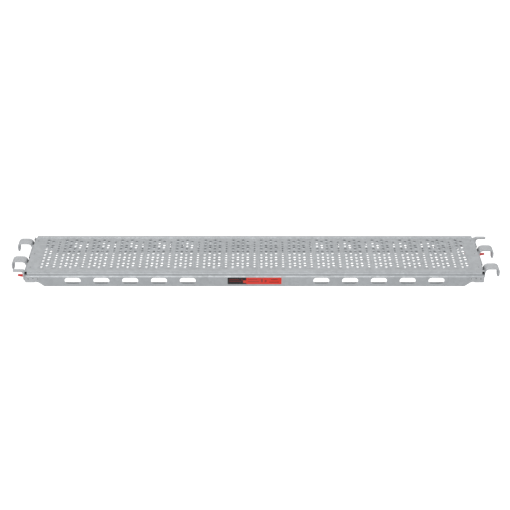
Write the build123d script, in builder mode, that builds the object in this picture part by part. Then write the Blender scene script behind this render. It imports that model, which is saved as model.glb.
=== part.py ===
from build123d import *
import os
from math import radians, tan

os.makedirs("parts", exist_ok=True)

# A galvanised steel scaffold plank. X runs along the plank, +Y to its back, +Z up.
# The origin is under its middle, on the surface that its two side webs stand on.

# ---- what the plank spans and how big it is ----
bay_length = 2070.0  # between the centres of the two tubes that carry it
tube_diameter = 48.3
tube_offset = 38.0  # from a tube's centre back to the end plate
deck_width = 304.0
deck_height = 80.0  # from the bottom of the webs to the top of the side ridges

# ---- deck sheet: one folded sheet ----
sheet = 1.5
ridge_rise = 3.8  # how far the side ridges stand above the walking surface
ridge_width = 15.0
ridge_slope = 1.6
ridge_inset = 1.5  # the ridge's outer corner stands this far inside the bead
bead_shoulder = 8.0  # height of the vertical face under the ridge's corner
bead_slope = 3.0
bead_height = 20.5  # ridge top to the underside of the side bead
groove_depth = 3.8
groove_height = 6.5
ledge_height = 5.0
flange_width = 20.0
lip_height = 10.0
sheet_end_gap = 6.0  # end plate's outer face to the sheet's top edge
bead_end_gap = 12.5  # the same, to the ends of the side beads
web_end_gap = 3.5  # the same, to the ends of the webs

# ---- perforation ----
pattern_pitch = 125.0  # from one cross bead to the next
cross_bead_count = 15
cross_bead_width = 26.0
cross_bead_length = 250.0
cross_bead_depth = 1.5
drain_hole = 10.0  # the small holes in the cross beads
drain_spacing = 18.75
drain_count = 12
grip_hole = 12.5  # the large holes of the walking surface
grip_spacing = 25.0
long_column = 10
short_column = 9
column_spacing = 21.65

# ---- slots in the side webs ----
slot_length = 70.0
slot_height = 29.0
slot_centre = 30.0  # above the bottom of the web
slots_per_half = 5
first_slot = 290.0

# ---- cut-away under each end of the webs ----
cutaway_height = 24.0
cutaway_length = 55.0
cutaway_angle = 40.0
cutaway_radius = 30.0

# ---- end caps ----
cap_wall = 2.5
cap_bottom = 22.5
cap_radius = 7.0
cap_flange = 36.0
cheek_length = 64.0
cheek_foot = 41.0  # how far the cheek's lower edge reaches
cheek_slope = 14.0  # height of the slanted end of the cheek
cheek_top = 49.0
cheek_radius = 4.0
cheek_gap = 1.0  # cheek's outer face inside the plank's full width
tab_length = 30.0  # the cap's inner tabs, which close the side beads
tab_inset = 18.0
tab_bottom = 52.0
notch_margin = 1.5  # on each side of a claw, in the bend of the cap behind it
notch_depth = 13.0

# ---- claws ----
claw_wall = 6.5
claw_width = 44.0
claw_corner = 20.0  # outer radius of the shoulder over the tube
claw_play = 0.85  # between the tube and the claw's outer leg
claw_drop = 48.0  # how far the outer leg hangs below the claw's top
claw_foot = 20.0
claw_foot_top = 24.0  # below the claw's top
claw_rise = 7.0  # how far the sloping root leans out
claw_tip_width = 22.0
claw_taper = 20.0
outer_claw = -106.0  # places across the width, in each end's own frame
inner_claw = 47.0

# ---- support fingers ----
finger_width = 14.0
finger_wall = 7.5
finger_reach = 50.0
finger_bend = 10.0
finger_leg = 54.0
finger_place = 138.5

# ---- gravity latch under each end plate ----
latch_place = 89.0
latch_wall = 8.0
latch_reach = 42.5  # beyond the end plate
latch_toe = 6.0  # height of the toe at its tip
latch_root = 15.0  # height of the toe at its root
latch_gap = 0.4  # between the toe and the tube, and between the toe and the plate's notch
stop_gap = 0.3
pivot_inset = 15.0
pivot_height = 59.0
pivot_boss = 8.0
pin_diameter = 8.0
pin_clearance = 0.06  # radial
pin_head = 13.0
pin_head_height = 2.5
pin_tail = 3.5
clip_diameter = 15.0
clip_wall = 1.2
tail_length = 48.0  # end plate to the end of the tail
tail_bottom = 6.0
tail_height = 44.0
ear_wall = 3.0
ear_gap = 0.5
ear_radius = 9.0
bridge_length = 20.0

# ---- fasteners and label ----
rivet_head = 7.0
rivet_rise = 0.8
rivet_shank = 4.0
deck_rivet_inset = 22.0
deck_rivet_spacing = 111.0
side_rivet_insets = (15.5, 36.0, 57.0)  # from the end plate
side_rivet_heights = (41.0, 43.5, 41.0)
label_length = 234.0
label_height = 33.5
label_wall = 0.3
label_centre = 29.0

# ---- values that follow ----
body_length = bay_length - 2 * tube_offset
half_body = body_length / 2
half_width = deck_width / 2
surface = deck_height - ridge_rise
web_face = half_width - cheek_gap - cap_wall
bead_underside = deck_height - bead_height
groove_face = web_face - groove_depth
ledge_top = bead_underside - groove_height
flange_top = surface - sheet
cap_face = half_width - cheek_gap
cutaway_run = cutaway_height / tan(radians(cutaway_angle))
deck_rivet_places = [(-deck_rivet_inset, across * deck_rivet_spacing) for across in (-1, 0, 1)]
side_rivet_places = [(-inset, height) for inset, height in zip(side_rivet_insets, side_rivet_heights)]
tube_height = deck_height - claw_wall - tube_diameter / 2
toe_top = tube_height - tube_diameter / 2 - latch_gap

# Each end has its own frame: x points out of the end plate, y across, z up.
# The two frames are half a turn apart, so the claws of two planks pass each other.
ends = {
    "right": Plane(origin=(half_body, 0, 0), x_dir=(1, 0, 0), z_dir=(0, 0, 1)),
    "left": Plane(origin=(-half_body, 0, 0), x_dir=(-1, 0, 0), z_dir=(0, 0, 1)),
}


def upright(end, across):
    """The upright lengthwise plane of one end, at a place across the width; its normal is -y."""
    return Plane(origin=end.from_local_coords((0, across, 0)), x_dir=end.x_dir, z_dir=-end.y_dir)


def facing(end, along):
    """The plane parallel to one end plate, at a place along x; its local x is the end's y."""
    return Plane(origin=end.from_local_coords((along, 0, 0)), x_dir=end.y_dir, z_dir=end.x_dir)


def level(end, height):
    """The level plane of one end at a height."""
    return Plane(origin=end.from_local_coords((0, 0, height)), x_dir=end.x_dir, z_dir=end.z_dir)


def write(piece, name):
    """Names a finished piece and writes its file."""
    piece.label = name
    export_step(piece, f"parts/{name}.step")


# ---- rivet holes, as the solids that are taken out of the sheet and the caps ----
with BuildPart() as rivet_drills:
    for end in ends.values():
        with BuildSketch(level(end, surface + sheet)):
            with Locations(*deck_rivet_places):
                Circle(rivet_shank / 2)
        extrude(amount=-2 * (sheet + cap_wall))
        with BuildSketch(upright(end, -half_width)):
            with Locations(*side_rivet_places):
                Circle(rivet_shank / 2)
        extrude(amount=-deck_width)

# ---- deck sheet ----
# The fold line of one side, seen from the end, from the middle of the deck to the lip.
side_fold = [
    (0, surface),
    (half_width - ridge_inset - ridge_width - ridge_slope, surface),
    (half_width - ridge_inset - ridge_width, deck_height),
    (half_width - ridge_inset, deck_height),
    (half_width - ridge_inset, deck_height - bead_shoulder),
    (half_width, deck_height - bead_shoulder - bead_slope),
    (half_width, bead_underside + bead_slope),
    (groove_face, bead_underside),
    (groove_face, ledge_top),
    (web_face, ledge_top - ledge_height),
    (web_face, 0),
    (web_face - flange_width, 0),
    (web_face - flange_width, lip_height),
]

columns = []
for group in range(-(cross_bead_count + 1) // 2, (cross_bead_count + 1) // 2):
    middle = (group + 0.5) * pattern_pitch
    for place, length in ((-1.5, long_column), (-0.5, short_column), (0.5, long_column), (1.5, short_column)):
        along = middle + place * column_spacing
        if abs(along) < cross_bead_count * pattern_pitch / 2:
            columns.append((along, length))

with BuildPart() as deck_sheet:
    with BuildSketch(Plane.YZ.offset(-half_body + web_end_gap)):
        with BuildLine() as fold:
            Polyline(*[(-y, z) for y, z in reversed(side_fold)][:-1], *side_fold)
            offset(amount=sheet, side=Side.RIGHT, kind=Kind.INTERSECTION)
        make_face()
    extrude(amount=body_length - 2 * web_end_gap)

    # The walking surface and the side beads stop short of the webs' ends.
    for end in ends.values():
        with BuildSketch(level(end, surface - 2 * sheet)):
            with Locations((-sheet_end_gap + cap_flange / 2, 0)):
                Rectangle(cap_flange, deck_width)
        extrude(amount=ridge_rise + 4 * sheet, mode=Mode.SUBTRACT)
        with BuildSketch(level(end, bead_underside - sheet)):
            for across in (-half_width, half_width):
                with Locations((-bead_end_gap + cap_flange / 2, across)):
                    Rectangle(cap_flange, 2 * (ridge_inset + ridge_width + ridge_slope))
        extrude(amount=bead_height + 2 * sheet, mode=Mode.SUBTRACT)
        with BuildSketch(upright(end, -half_width)) as cutaway:
            with BuildLine():
                Polyline(
                    (cap_radius, cutaway_height),
                    (-cutaway_length, cutaway_height),
                    (-cutaway_length - 2 * cutaway_run, -cutaway_height),
                    (cap_radius, -cutaway_height),
                    close=True,
                )
            make_face()
            corner = cutaway.vertices().sort_by_distance((-cutaway_length, cutaway_height, 0))[0]
            fillet(corner, cutaway_radius)
        extrude(amount=-deck_width, mode=Mode.SUBTRACT)

    # Cross beads: pressed down into the walking surface.
    bead_places = [
        (place * pattern_pitch, 0)
        for place in range(-(cross_bead_count // 2), cross_bead_count // 2 + 1)
    ]
    with BuildSketch(Plane.XY.offset(surface - sheet)):
        with Locations(*bead_places):
            SlotOverall(cross_bead_length + 2 * sheet, cross_bead_width + 2 * sheet, rotation=90)
    extrude(amount=-cross_bead_depth)
    with BuildSketch(Plane.XY.offset(surface)):
        with Locations(*bead_places):
            SlotOverall(cross_bead_length, cross_bead_width, rotation=90)
    extrude(amount=-cross_bead_depth, mode=Mode.SUBTRACT)

    # Slots in both webs.
    with BuildSketch(Plane.XZ.offset(-half_width)):
        for place in range(slots_per_half):
            for along in (first_slot + place * pattern_pitch, -first_slot - place * pattern_pitch):
                with Locations((along, slot_centre)):
                    SlotOverall(slot_length, slot_height)
    extrude(amount=deck_width, mode=Mode.SUBTRACT)

    # The holes of the walking surface.
    with BuildSketch(Plane.XY.offset(surface + sheet)):
        with Locations(*bead_places):
            with GridLocations(1, drain_spacing, 1, drain_count):
                Circle(drain_hole / 2)
        for along, count in columns:
            with Locations((along, 0)):
                with GridLocations(1, grip_spacing, 1, count):
                    Circle(grip_hole / 2)
    extrude(amount=-2 * sheet - cross_bead_depth - 2 * sheet, mode=Mode.SUBTRACT)

    add(rivet_drills.part, mode=Mode.SUBTRACT)
write(deck_sheet.part, "deck_sheet")


# ---- end caps ----
# The pressed cap under each end of the sheet: a plate with cheeks round the webs, a flange under the
# walking surface, a tab behind each side bead, a notch in its bend behind each claw and a notch in its
# lower edge for the latch.
for side, end in ends.items():
    with BuildPart() as end_cap:
        with BuildSketch(level(end, cap_bottom)) as plan:
            with Locations((-cheek_length / 2, 0)):
                Rectangle(cheek_length, 2 * cap_face)
            fillet(plan.vertices().sort_by(Axis.X)[-2:], cheek_radius)
            with Locations((-cap_wall - cheek_length / 2, 0)):
                Rectangle(cheek_length, 2 * web_face, mode=Mode.SUBTRACT)
        extrude(amount=cheek_top - cap_bottom)
        with BuildSketch(level(end, cheek_top)):
            with Locations((-cap_wall / 2, 0)):
                Rectangle(cap_wall, 2 * cap_face - 2 * cheek_radius)
        extrude(amount=flange_top - cheek_top)
        with BuildSketch(upright(end, -groove_face + sheet)):
            with BuildLine():
                Polyline(
                    (-cap_wall, cheek_top),
                    (-cap_wall, flange_top - cap_radius),
                    (-cap_radius, flange_top - cap_wall),
                    (-cap_flange, flange_top - cap_wall),
                    (-cap_flange, flange_top),
                    (-cap_radius, flange_top),
                )
                RadiusArc((-cap_radius, flange_top), (0, flange_top - cap_radius), cap_radius)
                Polyline((0, flange_top - cap_radius), (0, cheek_top), (-cap_wall, cheek_top))
            make_face()
        extrude(amount=-2 * (groove_face - sheet))
        with BuildSketch(level(end, tab_bottom)):
            for across in (-1, 1):
                with Locations((-cap_wall - tab_length / 2, across * (half_width - tab_inset))):
                    Rectangle(tab_length, cap_wall)
        extrude(amount=flange_top - cap_wall - tab_bottom)
        with BuildSketch(level(end, flange_top)):
            for across in (outer_claw, inner_claw):
                with Locations((-sheet_end_gap / 2, across)):
                    Rectangle(sheet_end_gap, claw_width + 2 * notch_margin)
        extrude(amount=-notch_depth, mode=Mode.SUBTRACT)
        with BuildSketch(upright(end, -half_width)):
            with BuildLine():
                Polyline(
                    (-cheek_foot, cap_bottom),
                    (-cheek_length, cap_bottom + cheek_slope),
                    (-cheek_length, cap_bottom),
                    close=True,
                )
            make_face()
        extrude(amount=-deck_width, mode=Mode.SUBTRACT)
        with BuildSketch(level(end, toe_top + latch_gap)):
            with Locations((-cap_wall / 2, latch_place)):
                Rectangle(2 * cap_wall, latch_wall + 2 * ear_gap)
        extrude(amount=cap_bottom - toe_top - 2 * latch_gap, mode=Mode.SUBTRACT)
        add(rivet_drills.part, mode=Mode.SUBTRACT)
    write(end_cap.part, f"end_cap_{side}")

# ---- claws ----
# Bent flat bars that hook over the tube. The root leans out from the end plate to the shoulder,
# and the outer leg narrows to a round tongue.
claw_front = tube_offset + tube_diameter / 2 + claw_play + claw_wall
for side, end in ends.items():
    for place, across in (("outer", outer_claw), ("inner", inner_claw)):
        with BuildPart() as claw:
            with BuildSketch(upright(end, across - claw_width / 2)):
                with BuildLine():
                    FilletPolyline(
                        (0, deck_height - claw_foot_top - claw_foot),
                        (0, deck_height - claw_foot_top),
                        (claw_rise, deck_height),
                        (claw_front, deck_height),
                        (claw_front, deck_height - claw_drop),
                        radius=claw_corner,
                    )
                    offset(amount=claw_wall, side=Side.RIGHT)
                make_face()
            extrude(amount=-claw_width)
            with BuildSketch(facing(end, claw_front - 2 * claw_wall)) as tongue:
                tip = deck_height - claw_drop
                with BuildLine():
                    Polyline(
                        (across - claw_width, tip - claw_wall),
                        (across - claw_width, tip + claw_taper + claw_width / 2),
                        (across - claw_width / 2, tip + claw_taper + claw_width / 2),
                        (across - claw_width / 2, tip + claw_taper),
                        (across - claw_tip_width / 2, tip),
                        (across + claw_tip_width / 2, tip),
                        (across + claw_width / 2, tip + claw_taper),
                        (across + claw_width / 2, tip + claw_taper + claw_width / 2),
                        (across + claw_width, tip + claw_taper + claw_width / 2),
                        (across + claw_width, tip - claw_wall),
                        close=True,
                    )
                make_face()
            extrude(amount=3 * claw_wall, mode=Mode.SUBTRACT)
        write(claw.part, f"claw_{side}_{place}")

# ---- support fingers ----
# A square bar beside the claws that rests on the same tube; its leg runs down the end plate.
for side, end in ends.items():
    with BuildPart() as support_finger:
        with BuildSketch(upright(end, finger_place - finger_width / 2)):
            with BuildLine():
                FilletPolyline(
                    (0, deck_height - finger_leg),
                    (0, deck_height),
                    (finger_reach, deck_height),
                    radius=cap_radius,
                )
                Line((finger_reach, deck_height), (finger_reach, deck_height - finger_wall))
                FilletPolyline(
                    (finger_reach, deck_height - finger_wall),
                    (finger_wall, deck_height - finger_wall),
                    (finger_wall, deck_height - finger_leg + finger_wall),
                    radius=finger_bend,
                )
                Line((finger_wall, deck_height - finger_leg + finger_wall), (0, deck_height - finger_leg))
            make_face()
        extrude(amount=-finger_width)
        tip_edges = support_finger.edges().filter_by(Axis.Z).sort_by(SortBy.DISTANCE)[-2:]
        fillet(tip_edges, finger_width / 2 - sheet)
    write(support_finger.part, f"support_finger_{side}")

# ---- latch brackets ----
# A bent saddle under the cap's flange: a bridge and two ears, which carry the latch's pin.
ear_place = latch_wall / 2 + ear_gap
ear_face = ear_place + ear_wall
bridge_top = flange_top - cap_wall
pin_radius = pin_diameter / 2
for side, end in ends.items():
    with BuildPart() as latch_bracket:
        with BuildSketch(facing(end, -cap_radius - bridge_length)):
            with Locations((latch_place, bridge_top - ear_wall / 2)):
                Rectangle(2 * ear_face, ear_wall)
        extrude(amount=bridge_length)
        for across in (-ear_face, ear_place):
            with BuildSketch(upright(end, latch_place + across)):
                with Locations((-pivot_inset, pivot_height)):
                    Circle(ear_radius)
                with Locations((-pivot_inset, (pivot_height + bridge_top - ear_wall) / 2)):
                    Rectangle(2 * ear_radius, bridge_top - ear_wall - pivot_height)
                with Locations((-pivot_inset, pivot_height)):
                    Circle(pin_radius + pin_clearance, mode=Mode.SUBTRACT)
            extrude(amount=-ear_wall)
    write(latch_bracket.part, f"latch_bracket_{side}")

# ---- latch pins and their clips ----
for side, end in ends.items():
    with BuildPart() as latch_pin:
        with BuildSketch(upright(end, latch_place - ear_face - pin_head_height)):
            with Locations((-pivot_inset, pivot_height)):
                Circle(pin_head / 2)
        extrude(amount=-pin_head_height)
        with BuildSketch(upright(end, latch_place - ear_face)):
            with Locations((-pivot_inset, pivot_height)):
                Circle(pin_radius)
        extrude(amount=-2 * ear_face - pin_tail)
    write(latch_pin.part, f"latch_pin_{side}")

    with BuildPart() as latch_clip:
        with BuildSketch(upright(end, latch_place + ear_face)):
            with Locations((-pivot_inset, pivot_height)):
                Circle(clip_diameter / 2)
                Circle(pin_radius, mode=Mode.SUBTRACT)
        extrude(amount=-clip_wall)
    write(latch_clip.part, f"latch_clip_{side}")

# ---- latches ----
# A flat pawl that hangs on its pin. The toe passes under the end plate and the tube; the heavier
# tail inside the plank keeps the pawl's front edge against the end plate.
stop_face = -cap_wall - stop_gap
latch_back = -pivot_inset - pivot_boss
for side, end in ends.items():
    with BuildPart() as latch:
        with BuildSketch(upright(end, latch_place - latch_wall / 2)):
            with BuildLine():
                Polyline(
                    (-pivot_inset, pivot_height - pivot_boss / 2),
                    (stop_face, pivot_height - 2 * pivot_boss),
                    (stop_face, toe_top),
                    (latch_reach, toe_top),
                    (latch_reach, toe_top - latch_toe),
                    (0, toe_top - latch_root),
                    (latch_back + pivot_boss, toe_top - latch_root),
                    (latch_back, tail_bottom),
                    (-tail_length, tail_bottom),
                    (-tail_length, tail_bottom + tail_height),
                    (latch_back, tail_bottom + tail_height),
                    (latch_back, pivot_height),
                    close=True,
                )
            make_face()
            with Locations((-pivot_inset, pivot_height)):
                Circle(pivot_boss)
                Circle(pin_radius + pin_clearance, mode=Mode.SUBTRACT)
        extrude(amount=-latch_wall)
        toe_edges = latch.edges().filter_by(Axis((0, 0, 0), (0, 1, 0))).sort_by(Axis.X)
        outer_edges = toe_edges[-2:] if side == "right" else toe_edges[:2]
        tail_edges = toe_edges[:2] if side == "right" else toe_edges[-2:]
        fillet(outer_edges, latch_toe / 3)
        fillet(tail_edges, tail_height / 4)
    write(latch.part, f"latch_{side}")

# ---- rivets ----
# One row across each end holds the sheet to the cap's flange, and a group holds each cheek to its web.
# A rivet is a head, a shank through both sheets and a formed tail.
inner_flange = flange_top - cap_wall
inner_web = web_face - sheet
for side, end in ends.items():
    with BuildPart() as deck_rivets:
        for height, radius, rise in (
            (surface, rivet_head / 2, rivet_rise),
            (inner_flange, rivet_shank / 2, surface - inner_flange),
            (inner_flange, rivet_head / 2, -rivet_rise),
        ):
            with BuildSketch(level(end, height)):
                with Locations(*deck_rivet_places):
                    Circle(radius)
            extrude(amount=rise)
    write(deck_rivets.part, f"deck_rivets_{side}")

    for name, across in (("front", -1), ("back", 1)):
        outward = across if side == "right" else -across
        with BuildPart() as side_rivets:
            for place, radius, rise in (
                (cap_face, rivet_head / 2, -rivet_rise),
                (cap_face, rivet_shank / 2, cap_face - inner_web),
                (inner_web, rivet_head / 2, rivet_rise),
            ):
                with BuildSketch(upright(end, outward * place)):
                    with Locations(*side_rivet_places):
                        Circle(radius)
                extrude(amount=outward * rise)
        write(side_rivets.part, f"side_rivets_{side}_{name}")

# ---- label ----
with BuildPart() as label_sticker:
    with BuildSketch(Plane.XZ.offset(web_face)):
        with Locations((0, label_centre)):
            RectangleRounded(label_length, label_height, 1.5)
    extrude(amount=label_wall)
write(label_sticker.part, "label_sticker")
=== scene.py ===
import math

import bmesh
import bpy
from mathutils import Matrix, Vector
from mathutils.kdtree import KDTree


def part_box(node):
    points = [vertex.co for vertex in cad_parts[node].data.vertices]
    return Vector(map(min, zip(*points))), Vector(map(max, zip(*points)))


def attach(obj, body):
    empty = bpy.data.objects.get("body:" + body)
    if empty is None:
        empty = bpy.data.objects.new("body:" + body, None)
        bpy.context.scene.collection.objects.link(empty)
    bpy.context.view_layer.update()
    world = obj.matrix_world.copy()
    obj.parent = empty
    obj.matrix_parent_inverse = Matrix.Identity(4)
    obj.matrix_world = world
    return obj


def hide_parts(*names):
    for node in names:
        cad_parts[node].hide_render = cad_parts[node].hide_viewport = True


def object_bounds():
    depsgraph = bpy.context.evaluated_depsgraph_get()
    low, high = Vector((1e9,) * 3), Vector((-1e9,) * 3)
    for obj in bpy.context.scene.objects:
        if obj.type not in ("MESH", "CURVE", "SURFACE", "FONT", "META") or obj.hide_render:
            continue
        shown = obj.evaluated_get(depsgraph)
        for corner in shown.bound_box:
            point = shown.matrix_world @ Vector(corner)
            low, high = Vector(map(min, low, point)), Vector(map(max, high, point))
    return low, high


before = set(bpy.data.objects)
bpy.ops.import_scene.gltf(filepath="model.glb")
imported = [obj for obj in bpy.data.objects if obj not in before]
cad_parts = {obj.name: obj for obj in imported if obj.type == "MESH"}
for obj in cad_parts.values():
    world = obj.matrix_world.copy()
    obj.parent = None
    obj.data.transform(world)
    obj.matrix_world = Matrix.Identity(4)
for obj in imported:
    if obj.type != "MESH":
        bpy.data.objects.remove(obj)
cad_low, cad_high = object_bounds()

mm = 0.001
end_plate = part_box("end_cap_right")[1].x
claw_places = {"outer": -106 * mm, "inner": 47 * mm}
claw_half = 22 * mm

# ---------------------------------------------------------------------------------------------
# The studio
# A wide pale floor well below the plank, even white light from above and a long lens, as for a
# product picture. The floor is only there to be seen: it throws no light back at the plank.
elevation = math.radians(31.5)
camera_distance = 5058 * mm
sensor = 36.0
lens = 80.5
aim = Vector((2 * mm, 0, 70 * mm))

camera_data = bpy.data.cameras.new("product_camera")
camera_data.lens = lens
camera_data.sensor_width = sensor
camera_data.clip_end = 50
camera = bpy.data.objects.new("product_camera", camera_data)
bpy.context.scene.collection.objects.link(camera)
look = Vector((0, math.cos(elevation), -math.sin(elevation)))
camera.location = aim - look * camera_distance
camera.rotation_euler = look.to_track_quat("-Z", "Y").to_euler()
bpy.context.scene.camera = camera


def node(tree, kind, **settings):
    """Adds a node; a setting whose name is a socket's is put on the socket, others on the node."""
    made = tree.nodes.new(kind)
    for key, value in settings.items():
        if hasattr(made, key):
            setattr(made, key, value)
        else:
            made.inputs[key.replace("_", " ")].default_value = value
    return made


def floor_material():
    material = bpy.data.materials.new("studio_floor")
    material.use_nodes = True
    shader = material.node_tree.nodes["Principled BSDF"]
    shader.inputs["Base Color"].default_value = (0.93, 0.93, 0.93, 1)
    shader.inputs["Roughness"].default_value = 0.9
    shader.inputs["Emission Color"].default_value = (1, 1, 1, 1)
    shader.inputs["Emission Strength"].default_value = 0.6
    return material


floor_mesh = bpy.data.meshes.new("studio_floor")
floor_half, floor_height = 30.0, -1.6
floor_mesh.from_pydata(
    [(x * floor_half, y * floor_half, floor_height) for x, y in ((-1, -1), (1, -1), (1, 1), (-1, 1))],
    [],
    [(0, 1, 2, 3)],
)
floor_mesh.materials.append(floor_material())
floor = bpy.data.objects.new("studio_floor", floor_mesh)
bpy.context.scene.collection.objects.link(floor)
floor.visible_diffuse = False
floor.visible_glossy = False

world = bpy.data.worlds.new("studio_light")
bpy.context.scene.world = world
world.use_nodes = True
sky = world.node_tree
background = sky.nodes["Background"]
direction = node(sky, "ShaderNodeTexCoord")
split = node(sky, "ShaderNodeSeparateXYZ")
fade = node(sky, "ShaderNodeValToRGB")
fade.color_ramp.elements[0].position = 0.42
fade.color_ramp.elements[0].color = (0.66, 0.67, 0.68, 1)
fade.color_ramp.elements[1].position = 0.62
fade.color_ramp.elements[1].color = (1, 1, 1, 1)
half_up = node(sky, "ShaderNodeMath", operation="MULTIPLY_ADD")
half_up.inputs[1].default_value = 0.5
half_up.inputs[2].default_value = 0.5
sky.links.new(direction.outputs["Generated"], split.inputs[0])
sky.links.new(split.outputs["Z"], half_up.inputs[0])
sky.links.new(half_up.outputs[0], fade.inputs["Fac"])
sky.links.new(fade.outputs["Color"], background.inputs["Color"])
background.inputs["Strength"].default_value = 0.72
bpy.context.scene.view_settings.view_transform = "Standard"


def soft_light(name, place, size, power):
    lamp = bpy.data.lights.new(name, "AREA")
    lamp.shape = "RECTANGLE"
    lamp.size, lamp.size_y = size
    lamp.energy = power
    lit = bpy.data.objects.new(name, lamp)
    bpy.context.scene.collection.objects.link(lit)
    lit.location = place
    lit.rotation_euler = (Vector((0, 0, 0)) - Vector(place)).to_track_quat("-Z", "Y").to_euler()


soft_light("key_panel", (-0.4, -3.5, 2.0), (4.4, 2.0), 52)

# ---------------------------------------------------------------------------------------------
# Walking surface
# The flat of the deck sheet between its side folds: rows of punched holes whose rims are pressed
# up or down for grip, and between them cross beads pressed down, each with a row of drain holes.
sheet = 1.5 * mm
surface = cad_high.z - 3.8 * mm
sheet_end = end_plate - 6 * mm
pattern_pitch = 125 * mm
column_pitch = 21.65 * mm
hole_pitch = 25 * mm
field_half = 125 * mm
bead_zone = pattern_pitch - 4 * column_pitch
lattice = hole_pitch / 4


def new_piece(name, mesh):
    piece = bpy.data.objects.new(name, mesh)
    bpy.context.scene.collection.objects.link(piece)
    return piece


def finished_mesh(built, name):
    """Turns a bmesh into a mesh and frees it."""
    mesh = bpy.data.meshes.new(name)
    built.to_mesh(mesh)
    built.free()
    return mesh


def mesh_of(name, polygons):
    """A mesh from loose polygons, with shared corners joined."""
    built = bmesh.new()
    for polygon in polygons:
        built.faces.new([built.verts.new(point) for point in polygon])
    bmesh.ops.remove_doubles(built, verts=built.verts, dist=0.01 * mm)
    return finished_mesh(built, name)


def bands(loops, flip=False):
    """Quads between closed loops of equal length, each loop a list of points."""
    faces = []
    for inner, outer in zip(loops, loops[1:]):
        for i in range(len(inner)):
            k = (i + 1) % len(inner)
            face = [inner[i], inner[k], outer[k], outer[i]]
            faces.append(face[::-1] if flip else face)
    return faces


def ring(radius, height, count, turn=0.0):
    steps = [turn + 2 * math.pi * i / count for i in range(count)]
    return [(radius * math.cos(a), radius * math.sin(a), height) for a in steps]


def frame_loop(half_x, half_y, across, along, height):
    """A rectangle's outline from the middle of its right side, with across and along steps."""
    points = []
    for i in range(along // 2):
        points.append((half_x, half_y * 2 * i / along, height))
    for i in range(across):
        points.append((half_x - 2 * half_x * i / across, half_y, height))
    for i in range(along):
        points.append((-half_x, half_y - 2 * half_y * i / along, height))
    for i in range(across):
        points.append((-half_x + 2 * half_x * i / across, -half_y, height))
    for i in range(along // 2):
        points.append((half_x, -half_y + 2 * half_y * i / along, height))
    return points


def grip_tile(name, rise, profile):
    """One punched hole in its cell: profile lists radius and height from the foot to the hole's edge."""
    count = 12
    half = (column_pitch / 2, hole_pitch / 2)
    top = [frame_loop(*half, 2, 4, 0)] + [ring(r, z * rise, count) for r, z in profile]
    low = [[(x, y, z - sheet) for x, y, z in loop] for loop in (top[0], top[1], top[-1])]
    return mesh_of(name, bands(top) + bands([top[-1], low[-1]]) + bands(low, flip=True))


rim_profile = [(9.7 * mm, 0), (8.3 * mm, 1.3 * mm), (7.0 * mm, 2.4 * mm), (6.2 * mm, 2.2 * mm)]
raised_profile = [(9.8 * mm, 0), (8.4 * mm, 2.2 * mm), (7.2 * mm, 3.7 * mm), (6.3 * mm, 3.5 * mm)]
raised_hole = new_piece("raised_hole_tile", grip_tile("raised_hole_tile", 1, raised_profile))
lowered_hole = new_piece("lowered_hole_tile", grip_tile("lowered_hole_tile", -1, rim_profile))


def plain_cell(name, half_x, length):
    """A plain bit of sheet, top and underside, two steps wide, with the field's lattice along it."""
    polygons = []
    steps = round(length / lattice)
    for i in range(2):
        for k in range(steps):
            x0, x1 = -half_x + i * half_x, -half_x + (i + 1) * half_x
            y0, y1 = -length / 2 + k * lattice, -length / 2 + (k + 1) * lattice
            quad = [(x0, y0, 0), (x1, y0, 0), (x1, y1, 0), (x0, y1, 0)]
            polygons += [quad, [(x, y, -sheet) for x, y, z in quad][::-1]]
    return mesh_of(name, polygons)


half_cell = new_piece("plain_half_tile", plain_cell("plain_half_tile", column_pitch / 2, hole_pitch / 2))


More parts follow.
